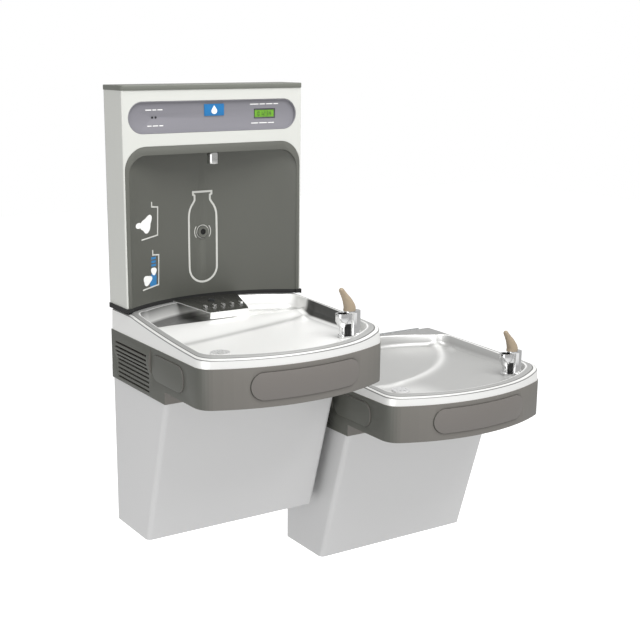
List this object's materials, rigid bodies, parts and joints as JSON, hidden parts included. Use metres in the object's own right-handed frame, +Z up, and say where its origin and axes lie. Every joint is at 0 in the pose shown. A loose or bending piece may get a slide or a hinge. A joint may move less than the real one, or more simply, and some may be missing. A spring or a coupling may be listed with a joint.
{
  "type": "bottle filling station",
  "caption": "Wall-hung bottle filling station: a lit-display filling tower over a bowed drinking fountain, beside a lower matching fountain with push pads",
  "frame": {"origin": "on the wall plane, on the upper unit's centre line, level with the top edge of its apron", "axes": "X right along the wall as seen from the room, Y into the wall, Z up"},
  "size_m": [0.939, 0.4855, 1.156],
  "materials": {
    "tower_paint": "light grey powder coat, fine texture, satin",
    "cap_plastic": "moulded dark warm grey, fine grain",
    "liner_plastic": "moulded dark grey, fine grain, satin",
    "panel_plastic": "moulded mid grey, fine grain",
    "display_glass": "green display window, glossy",
    "badge_plastic": "blue label plate with a plain drop",
    "lens_plastic": "dark indicator lenses",
    "sensor_plastic": "black sensor window",
    "nozzle_chrome": "plated outlet, smooth",
    "gasket_rubber": "black foam rubber seal",
    "valve_brass": "cast valve body",
    "valve_steel": "turned plunger",
    "tube_plastic": "translucent white water tube",
    "board_laminate": "green circuit board",
    "shelf_steel": "brushed stainless, bright",
    "screw_plastic": "dark cross-slotted screw cap",
    "basin_steel": "bright brushed stainless, drawn",
    "apron_plastic": "moulded dark warm grey, fine grain",
    "pad_plastic": "moulded dark warm grey push pads",
    "spring_steel": "spring wire",
    "bubbler_chrome": "plated brass",
    "guard_rubber": "flexible sand-coloured moulding",
    "strainer_steel": "turned strainer",
    "drain_plastic": "waste pipe",
    "cabinet_paint": "light grey powder coat, fine texture, satin",
    "chassis_steel": "galvanised sheet",
    "hanger_steel": "galvanised plate",
    "compressor_paint": "black enamel",
    "condenser_paint": "black enamel on steel fins",
    "motor_paint": "grey motor housing",
    "fan_plastic": "moulded fan",
    "tank_foam": "insulated chiller tank",
    "copper_tube": "copper refrigerant tube",
    "filter_plastic": "white filter moulding",
    "inlet_plastic": "black cord gland"
  },
  "bodies": {
    "housing": {"tower_shell": "tower_paint", "tower_cap": "cap_plastic", "tower_back_plate": "chassis_steel", "alcove_liner": "liner_plastic", "control_panel": "panel_plastic", "display_window": "display_glass", "badge_plate": "badge_plastic", "status_lenses": "lens_plastic", "bottle_sensor": "sensor_plastic", "fill_nozzle": "nozzle_chrome", "base_gasket": "gasket_rubber", "fill_valve": "valve_brass", "fill_line": "tube_plastic", "control_board": "board_laminate", "bottle_shelf": "shelf_steel", "shelf_screw": "screw_plastic", "upper_basin": "basin_steel", "upper_apron": "apron_plastic", "upper_pad_springs": "spring_steel", "upper_valve": "valve_brass", "upper_bubbler": "bubbler_chrome", "upper_mouth_guard": "guard_rubber", "upper_strainer": "strainer_steel", "upper_drain_pipe": "drain_plastic", "upper_cabinet": "cabinet_paint", "upper_chassis": "chassis_steel", "upper_hanger": "hanger_steel", "upper_bubbler_line": "tube_plastic", "lower_basin": "basin_steel", "lower_apron": "apron_plastic", "lower_pad_springs": "spring_steel", "lower_valve": "valve_brass", "lower_bubbler": "bubbler_chrome", "lower_mouth_guard": "guard_rubber", "lower_strainer": "strainer_steel", "lower_drain_pipe": "drain_plastic", "lower_cabinet": "cabinet_paint", "lower_chassis": "chassis_steel", "lower_hanger": "hanger_steel", "lower_bubbler_line": "tube_plastic", "compressor": "compressor_paint", "condenser": "condenser_paint", "fan_motor": "motor_paint", "chiller_tank": "tank_foam", "refrigerant_line": "copper_tube", "filter_head": "filter_plastic", "power_inlet": "inlet_plastic"},
    "upper_front_pad": {"upper_front_pad": "pad_plastic"},
    "upper_left_pad": {"upper_left_pad": "pad_plastic"},
    "upper_right_pad": {"upper_right_pad": "pad_plastic"},
    "upper_plunger": {"upper_valve_plunger": "valve_steel"},
    "lower_front_pad": {"lower_front_pad": "pad_plastic"},
    "lower_left_pad": {"lower_left_pad": "pad_plastic"},
    "lower_right_pad": {"lower_right_pad": "pad_plastic"},
    "lower_plunger": {"lower_valve_plunger": "valve_steel"},
    "fan": {"fan": "fan_plastic"},
    "filter_cartridge": {"filter_cartridge": "filter_plastic"}
  },
  "joints": [
    {"name": "upper_front_pad_push", "type": "slide", "parent": "housing", "child": "upper_front_pad", "axis": [0, 1, 0], "range_m": [0, 0.004], "stiffness_N_per_m": 1500, "springref_m": -0.002, "deforming": ["upper_pad_springs"]},
    {"name": "upper_plunger_push", "type": "slide", "parent": "housing", "child": "upper_plunger", "axis": [0, 1, 0], "range_m": [0, 0.004], "stiffness_N_per_m": 500, "springref_m": -0.002},
    {"name": "upper_left_pad_push", "type": "slide", "parent": "housing", "child": "upper_left_pad", "axis": [1, 0, 0], "range_m": [0, 0.004], "stiffness_N_per_m": 1500, "springref_m": -0.002, "deforming": ["upper_pad_springs"]},
    {"name": "upper_right_pad_push", "type": "slide", "parent": "housing", "child": "upper_right_pad", "axis": [-1, 0, 0], "range_m": [0, 0.004], "stiffness_N_per_m": 1500, "springref_m": -0.002, "deforming": ["upper_pad_springs"]},
    {"name": "lower_front_pad_push", "type": "slide", "parent": "housing", "child": "lower_front_pad", "axis": [0, 1, 0], "range_m": [0, 0.004], "stiffness_N_per_m": 1500, "springref_m": -0.002, "deforming": ["lower_pad_springs"]},
    {"name": "lower_plunger_push", "type": "slide", "parent": "housing", "child": "lower_plunger", "axis": [0, 1, 0], "range_m": [0, 0.004], "stiffness_N_per_m": 500, "springref_m": -0.002},
    {"name": "lower_left_pad_push", "type": "slide", "parent": "housing", "child": "lower_left_pad", "axis": [1, 0, 0], "range_m": [0, 0.004], "stiffness_N_per_m": 1500, "springref_m": -0.002, "deforming": ["lower_pad_springs"]},
    {"name": "lower_right_pad_push", "type": "slide", "parent": "housing", "child": "lower_right_pad", "axis": [-1, 0, 0], "range_m": [0, 0.004], "stiffness_N_per_m": 1500, "springref_m": -0.002, "deforming": ["lower_pad_springs"]},
    {"name": "fan_spin", "type": "hinge", "parent": "housing", "child": "fan", "pos_m": [-0.148, -0.086, -0.208], "axis": [1, 0, 0], "continuous": true},
    {"name": "cartridge_twist", "type": "hinge", "parent": "housing", "child": "filter_cartridge", "pos_m": [0.573, -0.092, -0.316], "axis": [0, 0, 1], "range_deg": [0, 90]}
  ],
  "couplings": [
    {"joint": "upper_plunger_push", "follows": "upper_front_pad_push", "ratio": 1},
    {"joint": "lower_plunger_push", "follows": "lower_front_pad_push", "ratio": 1}
  ]
}
